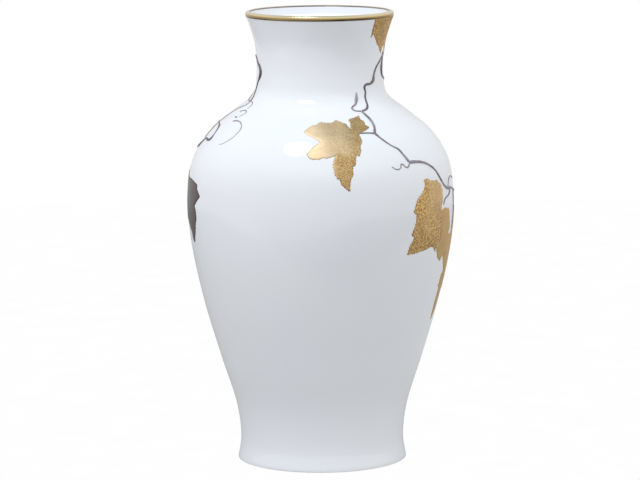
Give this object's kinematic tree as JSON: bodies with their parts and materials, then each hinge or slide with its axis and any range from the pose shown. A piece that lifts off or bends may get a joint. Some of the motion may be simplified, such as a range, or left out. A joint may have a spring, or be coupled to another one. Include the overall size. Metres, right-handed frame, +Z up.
{
  "type": "porcelain vase",
  "caption": "Baluster porcelain vase with a flared, gilt lip and a recessed foot, open at the top, with raised grape leaves in gold and dark enamel on a trailing vine.",
  "frame": {"origin": "middle of the foot ring, on the surface that the vase stands on", "axes": "+Z up along the vase's axis, -Y towards the front, where the large gold leaf is, and +X towards the stippled leaf's side"},
  "size_m": [0.179, 0.1768, 0.3],
  "materials": {
    "porcelain": "clear gloss glaze over white porcelain",
    "lip_gold": "burnished gilding",
    "leaf_gold": "raised gold, brushed in part and stippled in part",
    "cane_enamel": "raised mauve-grey enamel, satin",
    "dark_enamel": "raised graphite-brown enamel, satin"
  },
  "bodies": {
    "root": {"porcelain_body": "porcelain", "gilt_lip_band": "lip_gold", "lip_gold_leaf": "leaf_gold", "front_gold_leaf": "leaf_gold", "stippled_gold_leaf": "leaf_gold", "plain_gold_leaf": "leaf_gold", "back_gold_leaf": "leaf_gold", "back_hanging_gold_leaf": "leaf_gold", "left_dark_leaf": "dark_enamel", "back_dark_leaf": "dark_enamel", "neck_cane": "cane_enamel", "neck_shoot": "cane_enamel", "shoulder_shoot": "cane_enamel", "shoulder_cane": "cane_enamel", "front_leaf_stalk": "cane_enamel", "shoulder_tendril": "cane_enamel", "main_cane": "cane_enamel", "stippled_leaf_stalk": "cane_enamel", "main_tendril": "cane_enamel", "plain_leaf_stalk": "cane_enamel", "back_cane_1": "cane_enamel", "back_cane_2": "cane_enamel", "back_cane_3": "cane_enamel", "back_cane_4": "cane_enamel", "back_cane_5": "cane_enamel", "left_shoulder_cane": "cane_enamel", "left_neck_cane": "cane_enamel", "left_neck_twig": "cane_enamel", "left_back_twig": "cane_enamel", "left_outer_cane": "cane_enamel", "left_neck_tendril": "cane_enamel", "left_short_tendril": "cane_enamel", "left_bud_mark": "cane_enamel", "left_curl": "cane_enamel", "dark_leaf_stalk": "cane_enamel", "back_neck_cane_1": "cane_enamel", "back_neck_cane_2": "cane_enamel", "back_neck_cane_3": "cane_enamel", "back_neck_shoot": "cane_enamel", "back_gold_leaf_stalk": "cane_enamel", "back_dark_leaf_stalk": "cane_enamel", "back_hanging_leaf_stalk": "cane_enamel", "back_curl": "cane_enamel", "back_tendril": "cane_enamel"}
  },
  "joints": []
}
